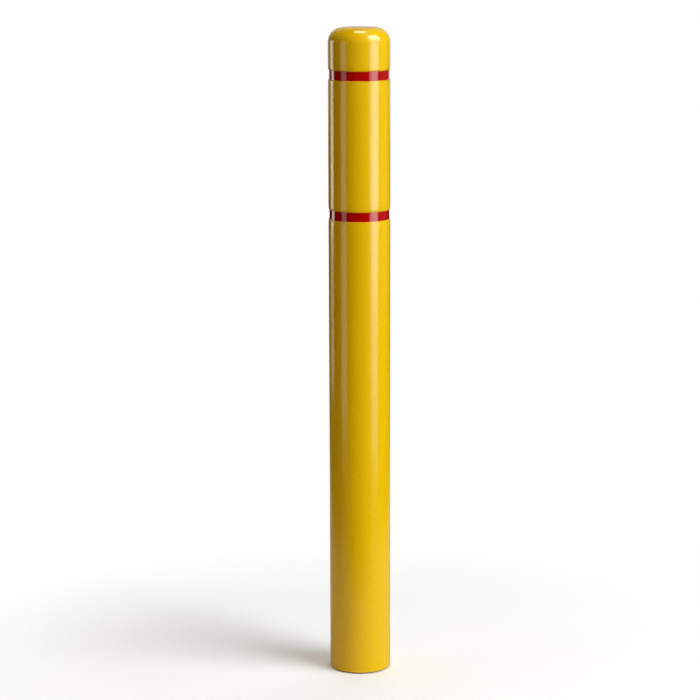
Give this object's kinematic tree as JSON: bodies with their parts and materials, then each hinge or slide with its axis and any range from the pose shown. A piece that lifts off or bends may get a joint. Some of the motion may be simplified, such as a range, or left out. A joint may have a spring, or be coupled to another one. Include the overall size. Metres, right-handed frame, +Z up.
{
  "type": "bollard cover",
  "caption": "Tall one-piece plastic sleeve with a rounded closed top and an open foot, grooved near the top for reflective tape, that drops over a steel post.",
  "frame": {"origin": "middle of the open foot, level with the ground", "axes": "+Z up along the cover's axis, -Y towards the viewer of the picture"},
  "size_m": [0.1343, 0.1344, 1.422],
  "materials": {
    "yellow_polyethylene": "moulded in colour, semi-gloss, with a faint orange-peel skin",
    "red_tape": "glossy reflective film with an adhesive back"
  },
  "bodies": {
    "root": {"cover": "yellow_polyethylene", "upper_tape": "red_tape", "lower_tape": "red_tape"}
  },
  "joints": []
}
